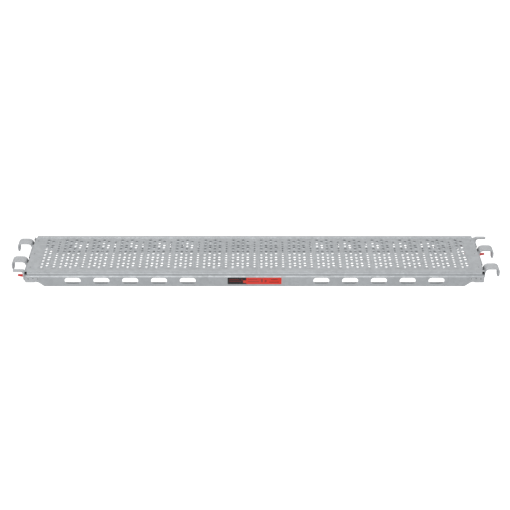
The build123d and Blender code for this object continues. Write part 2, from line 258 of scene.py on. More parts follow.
def bead_tile(name, half_x, bead_radius, depth, drain_radius, drain_pitch, drains):
    """A whole cross bead: a long rounded pan, its floor divided into one cell for each drain hole."""
    straight = drains * drain_pitch / 2
    rows = round(2 * field_half / lattice)

    def outline(radius, height):
        points = []
        for x, y, _ in frame_loop(half_x, field_half, 4, rows, 0):
            if abs(y) <= straight + lattice / 4:
                points.append((math.copysign(radius, x), y, height))
                continue
            beyond = abs(y) - straight
            if abs(x) > half_x * 0.99:
                place = beyond / lattice
            else:
                place = 2 + (half_x - abs(x)) / (half_x / 2)
            angle = place * math.pi / 8
            points.append(
                (
                    math.copysign(radius * math.cos(angle), x) if x else 0,
                    math.copysign(straight + radius * math.sin(angle), y),
                    height,
                )
            )
        return points

    floor_radius = bead_radius - 1.6 * mm
    loops = [
        frame_loop(half_x, field_half, 4, rows, 0),
        outline(bead_radius, 0),
        outline(bead_radius - 0.7 * mm, -depth * 0.4),
        outline(floor_radius, -depth),
    ]
    top = bands(loops)
    walls = []
    for k in range(drains):
        middle = -straight + (k + 0.5) * drain_pitch
        cell = []
        for i in range(3):
            cell.append((floor_radius, -drain_pitch / 2 + i * drain_pitch / 3))
        for i in range(3):
            cell.append((floor_radius - i * 2 * floor_radius / 3, drain_pitch / 2))
        for i in range(3):
            cell.append((-floor_radius, drain_pitch / 2 - i * drain_pitch / 3))
        for i in range(3):
            cell.append((-floor_radius + i * 2 * floor_radius / 3, -drain_pitch / 2))
        cell = [(x, middle + y, -depth) for x, y in cell]
        turn = -math.pi / 4
        hole = [(x, middle + y, z) for x, y, z in ring(drain_radius, -depth, 12, turn)]
        lip = [(x, middle + y, z) for x, y, z in ring(drain_radius + 0.8 * mm, -depth + 0.35 * mm, 12, turn)]
        foot = [(x, middle + y, z) for x, y, z in ring(drain_radius + 1.6 * mm, -depth, 12, turn)]
        top += bands([cell, foot, lip, hole])
        walls += bands([hole, [(x, y, z - sheet) for x, y, z in hole]])
    for end in (-1, 1):
        arc = [(x, y) for x, y, _ in loops[-1] if y * end >= straight - lattice / 4]
        arc += [(i * floor_radius / 3, end * straight) for i in (-1, 1)]
        arc.sort(key=lambda p: math.atan2(p[1] - end * (straight + bead_radius / 3), p[0]))
        top.append([(x, y, -depth) for x, y in arc])
    low = [[(x, y, z - sheet) for x, y, z in face][::-1] for face in top]
    return mesh_of(name, top + low + walls)


cross_bead = new_piece(
    "cross_bead_tile",
    bead_tile("cross_bead_tile", bead_zone / 2, 13 * mm, 1.5 * mm, 5 * mm, 18.75 * mm, 12),
)
end_field = (sheet_end - 7.5 * pattern_pitch) / 2
end_cell = new_piece("plain_end_tile", plain_cell("plain_end_tile", end_field, 2 * field_half))


def socket_of(tree, name):
    """The identifier of a tree's input, which a modifier's value is set by."""
    for item in tree.interface.items_tree:
        if item.in_out == "INPUT" and item.name == name:
            return item.identifier
    raise KeyError(name)


def rows_tree():
    """Geometry Nodes: a tile repeated along the plank and across it, about a middle point."""
    tree = bpy.data.node_groups.new("rows_along_the_plank", "GeometryNodeTree")
    for name, kind in (
        ("Tile", "NodeSocketObject"),
        ("Along Count", "NodeSocketInt"),
        ("Along Pitch", "NodeSocketFloat"),
        ("Across Count", "NodeSocketInt"),
        ("Across Pitch", "NodeSocketFloat"),
        ("Middle", "NodeSocketVector"),
        ("Material", "NodeSocketMaterial"),
    ):
        tree.interface.new_socket(name=name, in_out="INPUT", socket_type=kind)
    tree.interface.new_socket(name="Geometry", in_out="OUTPUT", socket_type="NodeSocketGeometry")
    given = node(tree, "NodeGroupInput")
    link = tree.links.new

    def row(count, pitch, axis):
        less = node(tree, "ShaderNodeMath", operation="SUBTRACT")
        less.inputs[1].default_value = 1
        link(given.outputs[count], less.inputs[0])
        length = node(tree, "ShaderNodeMath", operation="MULTIPLY")
        link(less.outputs[0], length.inputs[0])
        link(given.outputs[pitch], length.inputs[1])
        start = node(tree, "ShaderNodeMath", operation="MULTIPLY")
        start.inputs[1].default_value = -0.5
        link(length.outputs[0], start.inputs[0])
        line = node(tree, "GeometryNodeMeshLine", mode="OFFSET")
        for socket, value in (("Start Location", start.outputs[0]), ("Offset", given.outputs[pitch])):
            vector = node(tree, "ShaderNodeCombineXYZ")
            link(value, vector.inputs[axis])
            link(vector.outputs[0], line.inputs[socket])
        link(given.outputs[count], line.inputs["Count"])
        return line

    along, across = row("Along Count", "Along Pitch", "X"), row("Across Count", "Across Pitch", "Y")
    lattice_points = node(tree, "GeometryNodeInstanceOnPoints")
    link(along.outputs[0], lattice_points.inputs["Points"])
    link(across.outputs[0], lattice_points.inputs["Instance"])
    places = node(tree, "GeometryNodeRealizeInstances")
    link(lattice_points.outputs[0], places.inputs[0])
    tile = node(tree, "GeometryNodeObjectInfo")
    tile.transform_space = "ORIGINAL"
    link(given.outputs["Tile"], tile.inputs["Object"])
    tiles = node(tree, "GeometryNodeInstanceOnPoints")
    link(places.outputs[0], tiles.inputs["Points"])
    link(tile.outputs["Geometry"], tiles.inputs["Instance"])
    moved = node(tree, "GeometryNodeTransform")
    link(tiles.outputs[0], moved.inputs["Geometry"])
    link(given.outputs["Middle"], moved.inputs["Translation"])
    real = node(tree, "GeometryNodeRealizeInstances")
    link(moved.outputs[0], real.inputs[0])
    painted = node(tree, "GeometryNodeSetMaterial")
    link(real.outputs[0], painted.inputs["Geometry"])
    link(given.outputs["Material"], painted.inputs["Material"])
    out = node(tree, "NodeGroupOutput")
    link(painted.outputs[0], out.inputs[0])
    return tree


def grown(name, tree, inputs):
    """Runs a tree on an empty piece and returns its result as a plain mesh."""
    holder = new_piece(name, bpy.data.meshes.new(name))
    modifier = holder.modifiers.new(name, "NODES")
    modifier.node_group = tree
    for key, value in inputs.items():
        modifier[socket_of(tree, key)] = value
    bpy.context.view_layer.update()
    made = holder.evaluated_get(bpy.context.evaluated_depsgraph_get())
    mesh = bpy.data.meshes.new_from_object(made)
    holder.modifiers.remove(modifier)
    bpy.data.objects.remove(holder)
    return mesh


rows = rows_tree()


def field(tile, along_count, along_pitch, across_count, across_pitch, middle, material):
    return grown(
        tile.name,
        rows,
        {
            "Tile": tile,
            "Along Count": along_count,
            "Along Pitch": along_pitch,
            "Across Count": across_count,
            "Across Pitch": across_pitch,
            "Middle": middle,
            "Material": material,
        },
    )


def mix(tree, blend_type, amount, first, second):
    made = node(tree, "ShaderNodeMix", data_type="RGBA", blend_type=blend_type)
    for index, value in ((0, amount), (6, first), (7, second)):
        if hasattr(value, "is_linked"):
            tree.links.new(value, made.inputs[index])
        else:
            made.inputs[index].default_value = value
    return made.outputs[2]


def group_of(name, inputs, outputs):
    """A shader node group with named sockets, and its two end nodes."""
    tree = bpy.data.node_groups.new(name, "ShaderNodeTree")
    for key, kind, value in inputs:
        made = tree.interface.new_socket(name=key, in_out="INPUT", socket_type=kind)
        if value is not None:
            made.default_value = value
    for key, kind in outputs:
        tree.interface.new_socket(name=key, in_out="OUTPUT", socket_type=kind)
    return tree, node(tree, "NodeGroupInput"), node(tree, "NodeGroupOutput")


def zinc_group():
    """Hot-dip zinc: flat crystals of slightly different grey, fine grain and long runs."""
    tree, given, out = group_of(
        "zinc_coat",
        [
            ("Crystal Size", "NodeSocketFloat", 90.0),
            ("Contrast", "NodeSocketFloat", 0.5),
            ("Light", "NodeSocketColor", (0.6, 0.62, 0.64, 1)),
            ("Dark", "NodeSocketColor", (0.42, 0.44, 0.46, 1)),
        ],
        [("Color", "NodeSocketColor"), ("Roughness", "NodeSocketFloat"), ("Height", "NodeSocketFloat")],
    )
    link = tree.links.new
    place = node(tree, "ShaderNodeTexCoord").outputs["Object"]
    warp = node(tree, "ShaderNodeTexNoise", Scale=35.0, Detail=2.0)
    link(place, warp.inputs["Vector"])
    bent = node(tree, "ShaderNodeVectorMath", operation="MULTIPLY_ADD")
    bent.inputs[1].default_value = (0.012, 0.012, 0.012)
    link(warp.outputs["Color"], bent.inputs[0])
    link(place, bent.inputs[2])
    crystals = node(tree, "ShaderNodeTexVoronoi")
    link(bent.outputs[0], crystals.inputs["Vector"])
    link(given.outputs["Crystal Size"], crystals.inputs["Scale"])
    tone = node(tree, "ShaderNodeSeparateColor")
    link(crystals.outputs["Color"], tone.inputs[0])
    grain = node(tree, "ShaderNodeTexNoise", Scale=900.0, Detail=3.0, Roughness=0.7)
    link(place, grain.inputs["Vector"])
    clouds = node(tree, "ShaderNodeTexNoise", Scale=6.0, Detail=5.0, Roughness=0.6)
    link(place, clouds.inputs["Vector"])
    first = node(tree, "ShaderNodeMath", operation="MULTIPLY_ADD")
    first.inputs[1].default_value = 0.45
    link(tone.outputs[0], first.inputs[0])
    link(clouds.outputs["Fac"], first.inputs[2])
    second = node(tree, "ShaderNodeMath", operation="MULTIPLY_ADD")
    second.inputs[1].default_value = 0.35
    link(grain.outputs["Fac"], second.inputs[0])
    link(first.outputs[0], second.inputs[2])
    spread = node(tree, "ShaderNodeMapRange")
    spread.inputs["From Min"].default_value = 0.45
    spread.inputs["From Max"].default_value = 1.35
    link(second.outputs[0], spread.inputs["Value"])
    about = node(tree, "ShaderNodeMath", operation="SUBTRACT")
    about.inputs[1].default_value = 0.5
    link(spread.outputs[0], about.inputs[0])
    scaled = node(tree, "ShaderNodeMath", operation="MULTIPLY_ADD", use_clamp=True)
    scaled.inputs[2].default_value = 0.5
    link(about.outputs[0], scaled.inputs[0])
    link(given.outputs["Contrast"], scaled.inputs[1])
    grey = mix(tree, "MIX", scaled.outputs[0], given.outputs["Dark"], given.outputs["Light"])
    link(grey, out.inputs["Color"])
    rough = node(tree, "ShaderNodeMapRange")
    rough.inputs["To Min"].default_value = 0.52
    rough.inputs["To Max"].default_value = 0.36
    link(tone.outputs[0], rough.inputs["Value"])
    link(rough.outputs[0], out.inputs["Roughness"])
    link(second.outputs[0], out.inputs["Height"])
    return tree


zinc = zinc_group()


def grime_group():
    """Dull film and dirt: soft patches, narrower across the plank than along it."""
    tree, given, out = group_of(
        "grime",
        [
            ("Color", "NodeSocketColor", None),
            ("Roughness", "NodeSocketFloat", 0.4),
            ("Amount", "NodeSocketFloat", 0.3),
            ("Dirt", "NodeSocketColor", (0.2, 0.19, 0.18, 1)),
        ],
        [("Color", "NodeSocketColor"), ("Roughness", "NodeSocketFloat")],
    )
    link = tree.links.new
    place = node(tree, "ShaderNodeTexCoord").outputs["Object"]
    stretched = node(tree, "ShaderNodeMapping")
    stretched.inputs["Scale"].default_value = (9, 22, 14)
    link(place, stretched.inputs["Vector"])
    patches = node(tree, "ShaderNodeTexNoise", Scale=1.0, Detail=8.0, Roughness=0.65)
    link(stretched.outputs[0], patches.inputs["Vector"])
    mask = node(tree, "ShaderNodeMapRange")
    mask.inputs["From Min"].default_value = 0.5
    mask.inputs["From Max"].default_value = 0.78
    link(patches.outputs["Fac"], mask.inputs["Value"])
    strength = node(tree, "ShaderNodeMath", operation="MULTIPLY", use_clamp=True)
    link(mask.outputs[0], strength.inputs[0])
    link(given.outputs["Amount"], strength.inputs[1])
    soiled = mix(tree, "MIX", strength.outputs[0], given.outputs["Color"], given.outputs["Dirt"])
    link(soiled, out.inputs["Color"])
    duller = node(tree, "ShaderNodeMath", operation="MULTIPLY_ADD", use_clamp=True)
    duller.inputs[1].default_value = 0.3
    link(strength.outputs[0], duller.inputs[0])
    link(given.outputs["Roughness"], duller.inputs[2])
    link(duller.outputs[0], out.inputs["Roughness"])
    return tree


grime = grime_group()


def painted_shade_group():
    """Painted shade: near black put into the base colour behind each claw's root and in the open ends of the
    side beads.
    Measured in each end's own frame from the end plates."""
    tree, given, out = group_of(
        "crevice",
        [
            ("Color", "NodeSocketColor", None),
            ("Amount", "NodeSocketFloat", 0.0),
            ("End Plate", "NodeSocketFloat", 1.0),
            ("Shade", "NodeSocketColor", (0.006, 0.006, 0.006, 1)),
        ],
        [("Color", "NodeSocketColor")],
    )
    link = tree.links.new
    axes = node(tree, "ShaderNodeSeparateXYZ")
    link(node(tree, "ShaderNodeTexCoord").outputs["Object"], axes.inputs[0])

    def maths(operation, first, second=None):
        made = node(tree, "ShaderNodeMath", operation=operation)
        for index, value in enumerate((first, second)):
            if value is None:
                continue
            if hasattr(value, "is_linked"):
                link(value, made.inputs[index])
            else:
                made.inputs[index].default_value = value
        return made.outputs[0]

    def within(value, middle, half, soft):
        away = maths("ABSOLUTE", maths("SUBTRACT", value, middle))
        made = node(tree, "ShaderNodeMapRange", interpolation_type="SMOOTHSTEP")
        link(away, made.inputs["Value"])
        made.inputs["From Min"].default_value = half - soft
        made.inputs["From Max"].default_value = half + soft
        made.inputs["To Min"].default_value = 1
        made.inputs["To Max"].default_value = 0
        return made.outputs[0]

    out_along = maths("SUBTRACT", maths("ABSOLUTE", axes.outputs["X"]), given.outputs["End Plate"])
    across = maths("MULTIPLY", maths("SIGN", axes.outputs["X"]), axes.outputs["Y"])
    beside = maths(
        "MAXIMUM",
        *(within(across, place, claw_half + 2 * mm, 1 * mm) for place in claw_places.values()),
    )
    roots = maths("MULTIPLY", beside, within(out_along, -3 * mm, 5.5 * mm, 1.5 * mm))
    roots = maths("MULTIPLY", roots, within(axes.outputs["Z"], 69 * mm, 9 * mm, 1 * mm))
    ends_of_beads = maths(
        "MULTIPLY",
        within(maths("ABSOLUTE", across), 142 * mm, 13 * mm, 0.5 * mm),
        within(out_along, -8 * mm, 7 * mm, 0.5 * mm),
    )
    ends_of_beads = maths("MULTIPLY", ends_of_beads, within(axes.outputs["Z"], 65 * mm, 7 * mm, 1 * mm))
    # Where the mask is on, near-black painted shade replaces the surface colour.
    mask = maths("MULTIPLY", maths("MAXIMUM", roots, ends_of_beads), given.outputs["Amount"])
    link(mix(tree, "MIX", mask, given.outputs["Color"], given.outputs["Shade"]), out.inputs["Color"])
    return tree


crevice = painted_shade_group()


def galvanised(name, light, dark, crystal, contrast, dirt, metallic, bump, painted_shade_amount=0.0):
    """Galvanised steel of one piece: the zinc coat, its grime, painted shade in its crevices by the given
    amount, and a fine relief.
    """
    material = bpy.data.materials.new(name)
    material.use_nodes = True
    tree = material.node_tree
    link = tree.links.new
    shader = tree.nodes["Principled BSDF"]
    coat = node(tree, "ShaderNodeGroup", node_tree=zinc)
    for key, value in (("Crystal Size", crystal), ("Contrast", contrast), ("Light", light), ("Dark", dark)):
        coat.inputs[key].default_value = value
    film = node(tree, "ShaderNodeGroup", node_tree=grime)
    film.inputs["Amount"].default_value = dirt
    link(coat.outputs["Color"], film.inputs["Color"])
    link(coat.outputs["Roughness"], film.inputs["Roughness"])
    # Painted shade: near black mixed into the base colour behind the claw roots and at the open bead ends.
    shade = node(tree, "ShaderNodeGroup", node_tree=crevice)
    shade.inputs["Amount"].default_value = painted_shade_amount
    shade.inputs["End Plate"].default_value = end_plate
    link(film.outputs["Color"], shade.inputs["Color"])
    link(shade.outputs["Color"], shader.inputs["Base Color"])
    link(film.outputs["Roughness"], shader.inputs["Roughness"])
    relief = node(tree, "ShaderNodeBump")
    relief.inputs["Strength"].default_value = bump
    relief.inputs["Distance"].default_value = 0.4 * mm
    link(coat.outputs["Height"], relief.inputs["Height"])
    link(relief.outputs["Normal"], shader.inputs["Normal"])
    shader.inputs["Metallic"].default_value = metallic
    return material


sheet_zinc = galvanised(
    "galvanised_sheet", (0.63, 0.655, 0.675, 1), (0.47, 0.49, 0.505, 1), 70.0, 0.7, 0.12, 0.4, 0.12
)


def joined(name, meshes):
    """One piece from several meshes, with touching edges joined."""
    built = bmesh.new()
    for mesh in meshes:
        built.from_mesh(mesh)
    bmesh.ops.remove_doubles(built, verts=built.verts, dist=0.02 * mm)
    return finished_mesh(built, name)


def close_rim(mesh):
    """Joins the open edges of the sheet's top to those of its underside."""
    built = bmesh.new()
    built.from_mesh(mesh)
    built.verts.ensure_lookup_table()
    places = KDTree(len(built.verts))
    for i, vertex in enumerate(built.verts):
        places.insert(vertex.co, i)
    places.balance()
    for edge in [e for e in built.edges if e.is_boundary]:
        if min(v.co.z for v in edge.verts) < surface - sheet / 2:
            continue
        loop = edge.link_loops[0]
        rim = (loop.link_loop_next.vert, loop.vert)
        low = [built.verts[places.find(v.co - Vector((0, 0, sheet)))[1]] for v in reversed(rim)]
        built.faces.new((*rim, *low))
    built.to_mesh(mesh)
    built.free()


def smooth(mesh, angle):
    mesh.polygons.foreach_set("use_smooth", [True] * len(mesh.polygons))
    mesh.set_sharp_from_angle(angle=math.radians(angle))


fields = []
for place in (-1.5, 0.5):
    # Full groups of columns lie between the cross beads; the outermost groups are half ones.
    along = place * column_pitch
    fields.append(field(raised_hole, 14, pattern_pitch, 10, hole_pitch, (along, 0, surface), sheet_zinc))
for place in (-0.5, 1.5):
    along = place * column_pitch
    fields.append(field(raised_hole, 14, pattern_pitch, 5, 2 * hole_pitch, (along, 0, surface), sheet_zinc))
    fields.append(field(lowered_hole, 14, pattern_pitch, 4, 2 * hole_pitch, (along, 0, surface), sheet_zinc))
    fields.append(
        field(half_cell, 14, pattern_pitch, 2, 9.5 * hole_pitch, (along, 0, surface), sheet_zinc)
    )
for side, long_place, short_place in ((-1, 0.5, 1.5), (1, -1.5, -0.5)):
    group = side * 7.5 * pattern_pitch
    long_middle = (group + long_place * column_pitch, 0, surface)
    short_middle = (group + short_place * column_pitch, 0, surface)
    fields.append(field(raised_hole, 1, 0, 10, hole_pitch, long_middle, sheet_zinc))
    fields.append(field(raised_hole, 1, 0, 5, 2 * hole_pitch, short_middle, sheet_zinc))
    fields.append(field(lowered_hole, 1, 0, 4, 2 * hole_pitch, short_middle, sheet_zinc))
    fields.append(field(half_cell, 1, 0, 2, 9.5 * hole_pitch, short_middle, sheet_zinc))
fields.append(field(cross_bead, 15, pattern_pitch, 1, 0, (0, 0, surface), sheet_zinc))
fields.append(field(end_cell, 2, 2 * (sheet_end - end_field), 1, 0, (0, 0, surface), sheet_zinc))
for tile in (raised_hole, lowered_hole, half_cell, cross_bead, end_cell):
    bpy.data.objects.remove(tile)

walking_mesh = joined("walking_surface", fields)
close_rim(walking_mesh)
smooth(walking_mesh, 50)
walking_surface = new_piece("walking_surface", walking_mesh)
walking_mesh.materials.append(sheet_zinc)
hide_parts("deck_sheet")
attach(walking_surface, "plank")

# ---------------------------------------------------------------------------------------------
# Side folds
# The same sheet, folded down along each side: a raised ridge, a bead, a groove, then the web with
# its slots, and a flange with a lip underneath. The beads end short of the webs.
half_width = cad_high.y
web_gap = 3.5 * mm
deck_top = cad_high.z
web_end = end_plate - web_gap
bead_end = end_plate - 12.5 * mm
web_face = half_width - 3.5 * mm
groove_face = half_width - 7.3 * mm


def rounded_path(corners):
    """Points and outward normals along an open outline; each corner has its bend's outer radius."""
    path = []
    for i, (point, radius) in enumerate(corners):
        here = Vector(point)
        into = (here - Vector(corners[i - 1][0])).normalized() if i else None
        away = (Vector(corners[i + 1][0]) - here).normalized() if i + 1 < len(corners) else None
        if into is None or away is None:
            along = away or into
            path.append((here, Vector((-along.y, along.x))))
            continue
        turn = into.angle_signed(away)
        reach = radius * math.tan(abs(turn) / 2)
        start = here - into * reach
        side = Vector((-into.y, into.x)) * (-1 if turn > 0 else 1)
        centre = start + side * radius
        steps = max(3, round(math.degrees(abs(turn)) / 14))
        for k in range(steps + 1):
            spun = Matrix.Rotation(-turn * k / steps, 2) @ (start - centre)
            out = spun.normalized() * (-1 if side.dot(Vector((-into.y, into.x))) > 0 else 1)
            path.append((centre + spun, out))
    return path


def folded_section(corners, wall):
    """A closed outline of a bent sheet: out along one face and back along the other."""
    path = rounded_path(corners)
    return [p for p, n in path], [p - n * wall for p, n in path]


def skinned(built, rings):
    """Quads through equal rings of points; returns each ring's corners."""
    made = [[built.verts.new(point) for point in points] for points in rings]
    for first, second in zip(made, made[1:]):
        for i in range(len(first)):
            k = (i + 1) % len(first)
            built.faces.new((first[i], first[k], second[k], second[i]))
    return made


def extruded(name, rings):
    """A tube of quads through equal rings of points, its two ends closed by strips."""
    built = bmesh.new()
    made = skinned(built, rings)
    count = len(rings[0])
    for points, flip in ((made[0], True), (made[-1], False)):
        for i in range(count // 2 - 1):
            quad = (points[i], points[i + 1], points[count - 2 - i], points[count - 1 - i])
            built.faces.new(quad[::-1] if flip else quad)
    bmesh.ops.recalc_face_normals(built, faces=built.faces)
    return finished_mesh(built, name)


def applied(piece):
    """Puts a piece's modifiers into its mesh."""
    made = piece.evaluated_get(bpy.context.evaluated_depsgraph_get())
    mesh = bpy.data.meshes.new_from_object(made)
    piece.modifiers.clear()
    piece.data = mesh


def cut(piece, cutter):
    """Takes a closed cutter out of a piece, and removes the cutter."""
    modifier = piece.modifiers.new("cut", "BOOLEAN")
    modifier.operation = "DIFFERENCE"
    modifier.solver = "EXACT"
    modifier.object = cutter
    bpy.context.view_layer.update()
    applied(piece)
    bpy.data.objects.remove(cutter)


def prism(name, outline, low, high, axis):
    """A closed solid from an outline, in X and Z or in X and Y, between two places on the third axis."""
    def at(point, place):
        return (point[0], place, point[1]) if axis == "Y" else (point[0], point[1], place)
    built = bmesh.new()
    first = [built.verts.new(at(point, low)) for point in outline]
    second = [built.verts.new(at(point, high)) for point in outline]
    built.faces.new(first)
    built.faces.new(second[::-1])
    for i in range(len(outline)):
        k = (i + 1) % len(outline)
        built.faces.new((first[k], first[i], second[i], second[k]))
    bmesh.ops.recalc_face_normals(built, faces=built.faces)
    return new_piece(name, finished_mesh(built, name))


def paint(piece, material):
    piece.data.materials.clear()
    piece.data.materials.append(material)


def finish_faces(piece, angle):
    """Smooth faces with sharp edges kept, and normals that follow the large faces."""
    smooth(piece.data, angle)
    piece.modifiers.new("normals", "WEIGHTED_NORMAL").keep_sharp = True
    bpy.context.view_layer.update()
    applied(piece)


fold_corners = [
    ((field_half, surface), 0),
    ((half_width - 18.1 * mm, surface), 1.0 * mm),
    ((half_width - 16.5 * mm, deck_top), 2.0 * mm),
    ((half_width - 1.5 * mm, deck_top), 2.0 * mm),
    ((half_width - 1.5 * mm, deck_top - 8 * mm), 2.0 * mm),
    ((half_width, deck_top - 11 * mm), 3.0 * mm),
    ((half_width, deck_top - 17.5 * mm), 2.2 * mm),
    ((groove_face, deck_top - 20.5 * mm), 1.0 * mm),
    ((groove_face, deck_top - 27 * mm), 1.5 * mm),
    ((web_face, deck_top - 32 * mm), 2.5 * mm),
    ((web_face, 0), 3.0 * mm),
    ((web_face - 20 * mm, 0), 2.5 * mm),
    ((web_face - 20 * mm, 10 * mm), 0),
]
stations = [-web_end] + [(i - 8) * pattern_pitch for i in range(1, 16)] + [web_end]
slot_places = [side * (290 + 125 * i) * mm for side in (-1, 1) for i in range(5)]


def slot_outline(middle, length, height, centre):
    radius = height / 2
    points = []
    for side, start in ((1, -90), (-1, 90)):
        for k in range(13):
            angle = math.radians(start + 15 * k)
            offset = side * (length / 2 - radius)
            points.append((middle + offset + radius * math.cos(angle), centre + radius * math.sin(angle)))
    return points


def cutaway_outline(side):
    """Under a web's end: level, then down a slope through a wide curve."""
    height, start, run, radius = 24 * mm, web_end + web_gap - 55 * mm, 28.6 * mm, 30 * mm
    past = web_end + 9 * mm
    path = rounded_path([((past, height), 0), ((start, height), radius), ((start - 2 * run, -height), 0)])
    points = [p for p, n in path] + [Vector((past, -height))]
    return [(side * p.x, p.y) for p in points]


for side, name in ((-1, "front"), (1, "back")):
    top, under = folded_section(fold_corners, sheet)
    ring_points = top + under[::-1]
    rings = [[(x, side * p.x, p.y) for p in ring_points] for x in stations]
    fold = new_piece(f"{name}_side_fold", extruded(f"{name}_side_fold", rings))
    low, high = sorted((side * (half_width - 30 * mm), side * (half_width + 5 * mm)))
    for middle in slot_places:
        inner, outer = sorted((side * (web_face - 10 * mm), side * (web_face + 5 * mm)))
        outline = slot_outline(middle, 70 * mm, 29 * mm, 30 * mm)
        cut(fold, prism("slot_cutter", outline, inner, outer, "Y"))
    for end in (-1, 1):
        cut(fold, prism("cutaway_cutter", cutaway_outline(end), low, high, "Y"))
        beyond = end * (web_end + 5 * mm)
        low_z, high_z = deck_top - 22 * mm, deck_top + 5 * mm
        outline = [(end * bead_end, low_z), (beyond, low_z), (beyond, high_z), (end * bead_end, high_z)]
        inner, outer = sorted((side * (field_half - 5 * mm), side * (half_width + 5 * mm)))
        cut(fold, prism("bead_cutter", outline, inner, outer, "Y"))
    finish_faces(fold, 32)
    paint(fold, sheet_zinc)
    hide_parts("deck_sheet")
    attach(fold, "plank")

# ---------------------------------------------------------------------------------------------
# End caps, fingers, brackets, latches and pins
# Pressed and cut from thicker plate and bar, welded together and dipped. Each keeps its real form
# and gets the soft edges that cutting and zinc leave.
# The caps, brackets, fingers, claws and welds get full painted shade behind the claw roots and in the open
# bead ends.
cap_zinc = galvanised(
    "galvanised_cap", (0.69, 0.71, 0.73, 1), (0.52, 0.535, 0.55, 1), 60.0, 0.8, 0.2, 0.4, 0.2, 1.0
)
bar_zinc = galvanised(
    "galvanised_hook", (0.70, 0.72, 0.74, 1), (0.52, 0.535, 0.55, 1), 130.0, 0.9, 0.2, 0.4, 0.3, 1.0
)
pin_zinc = galvanised(
    "zinc_pin", (0.62, 0.62, 0.60, 1), (0.45, 0.45, 0.44, 1), 200.0, 0.5, 0.2, 0.8, 0.1
)


def painted_red():
    """Red powder coat: orange-peel relief, an uneven depth of colour, a little dust."""
    material = bpy.data.materials.new("red_powder_coat")
    material.use_nodes = True
    tree = material.node_tree
    link = tree.links.new
    shader = tree.nodes["Principled BSDF"]
    place = node(tree, "ShaderNodeTexCoord").outputs["Object"]
    peel = node(tree, "ShaderNodeTexNoise", Scale=420.0, Detail=2.0)
    link(place, peel.inputs["Vector"])
    blotch = node(tree, "ShaderNodeTexNoise", Scale=28.0, Detail=6.0)
    link(place, blotch.inputs["Vector"])
    coat = mix(tree, "MIX", blotch.outputs["Fac"], (0.80, 0.022, 0.02, 1), (0.94, 0.055, 0.045, 1))
    film = node(tree, "ShaderNodeGroup", node_tree=grime)
    film.inputs["Amount"].default_value = 0.08
    film.inputs["Roughness"].default_value = 0.38
    link(coat, film.inputs["Color"])
    link(film.outputs["Color"], shader.inputs["Base Color"])
    link(film.outputs["Roughness"], shader.inputs["Roughness"])
    relief = node(tree, "ShaderNodeBump")
    relief.inputs["Strength"].default_value = 0.25
    relief.inputs["Distance"].default_value = 0.2 * mm
    link(peel.outputs["Fac"], relief.inputs["Height"])
    link(relief.outputs["Normal"], shader.inputs["Normal"])
    shader.inputs["Coat Weight"].default_value = 0.15
    return material


red_coat = painted_red()


def refined(name, soft, material, body):
    """A CAD piece with its facets merged and its edges softened."""
    source = bpy.data.objects[name]
    built = bmesh.new()
    built.from_mesh(source.data)
    bmesh.ops.transform(built, matrix=source.matrix_world, verts=built.verts)
    bmesh.ops.remove_doubles(built, verts=built.verts, dist=0.005 * mm)
    bmesh.ops.dissolve_limit(built, angle_limit=math.radians(1), verts=built.verts, edges=built.edges)
    piece = new_piece(f"{name}_refined", finished_mesh(built, f"{name}_refined"))
    bevel = piece.modifiers.new("edges", "BEVEL")
    bevel.width = soft
    bevel.segments = 2
    bevel.limit_method = "ANGLE"
    bevel.angle_limit = math.radians(40)
    bpy.context.view_layer.update()
    applied(piece)
    finish_faces(piece, 35)
    paint(piece, material)
    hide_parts(name)
    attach(piece, body)
    return piece


for side in ("left", "right"):
    refined(f"end_cap_{side}", 0.5 * mm, cap_zinc, "plank")
    refined(f"support_finger_{side}", 1.0 * mm, bar_zinc, "plank")
    refined(f"latch_bracket_{side}", 0.5 * mm, cap_zinc, "plank")
    refined(f"latch_pin_{side}", 0.4 * mm, pin_zinc, "plank")
    refined(f"latch_clip_{side}", 0.2 * mm, pin_zinc, "plank")
    refined(f"latch_{side}", 0.6 * mm, red_coat, f"latch_{side}")

# ---------------------------------------------------------------------------------------------
# Claws
# Flat bars bent over the tube, stiffened by two grooves pressed along the back that leave a rib
# between them. The outer leg narrows to a round tongue, and the foot is welded to the end plate.
claw_wall = 6.5 * mm


def claw_path():
    """The outer face of a claw, from foot to tongue: place and outward normal, in short steps."""
    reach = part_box("claw_right_outer")[1].x - end_plate
    foot_low, foot_high = deck_top - 44 * mm, deck_top - 24 * mm
    corners = [
        ((0, foot_low), 0),
        ((0, foot_high), 20 * mm),
        ((7 * mm, deck_top), 20 * mm),
        ((reach, deck_top), 20 * mm),
        ((reach, deck_top - 48 * mm), 0),
    ]
    path = rounded_path(corners)
    fine = []
    for (p, n), (q, m) in zip(path, path[1:]):
        steps = max(1, math.ceil((q - p).length / (2.5 * mm)))
        for k in range(steps):
            fine.append((p.lerp(q, k / steps), n.lerp(m, k / steps).normalized()))
    fine.append(path[-1])
    return fine


def claw_section(half, depth):
    """A flat bar's outline: across, and depth under the outer face, from one edge round to it again."""
    edge, count = 1.3 * mm, 4
    outline = []
    for cx, cy, start in (
        (half - edge, -edge, 0),
        (-half + edge, -edge, 90),
        (-half + edge, -claw_wall + edge, 180),
        (half - edge, -claw_wall + edge, 270),
    ):
        for k in range(count + 1):
            angle = math.radians(start + 90 * k / count)
            outline.append((cx + edge * math.cos(angle), cy + edge * math.sin(angle)))
        if start == 0:
            for k in range(1, 24):
                across = (half - edge) * (1 - k / 12)
                groove = math.exp(-(((abs(across) - 9 * mm) / (2.4 * mm)) ** 2))
                outline.append((across, -depth * groove))
    return outline


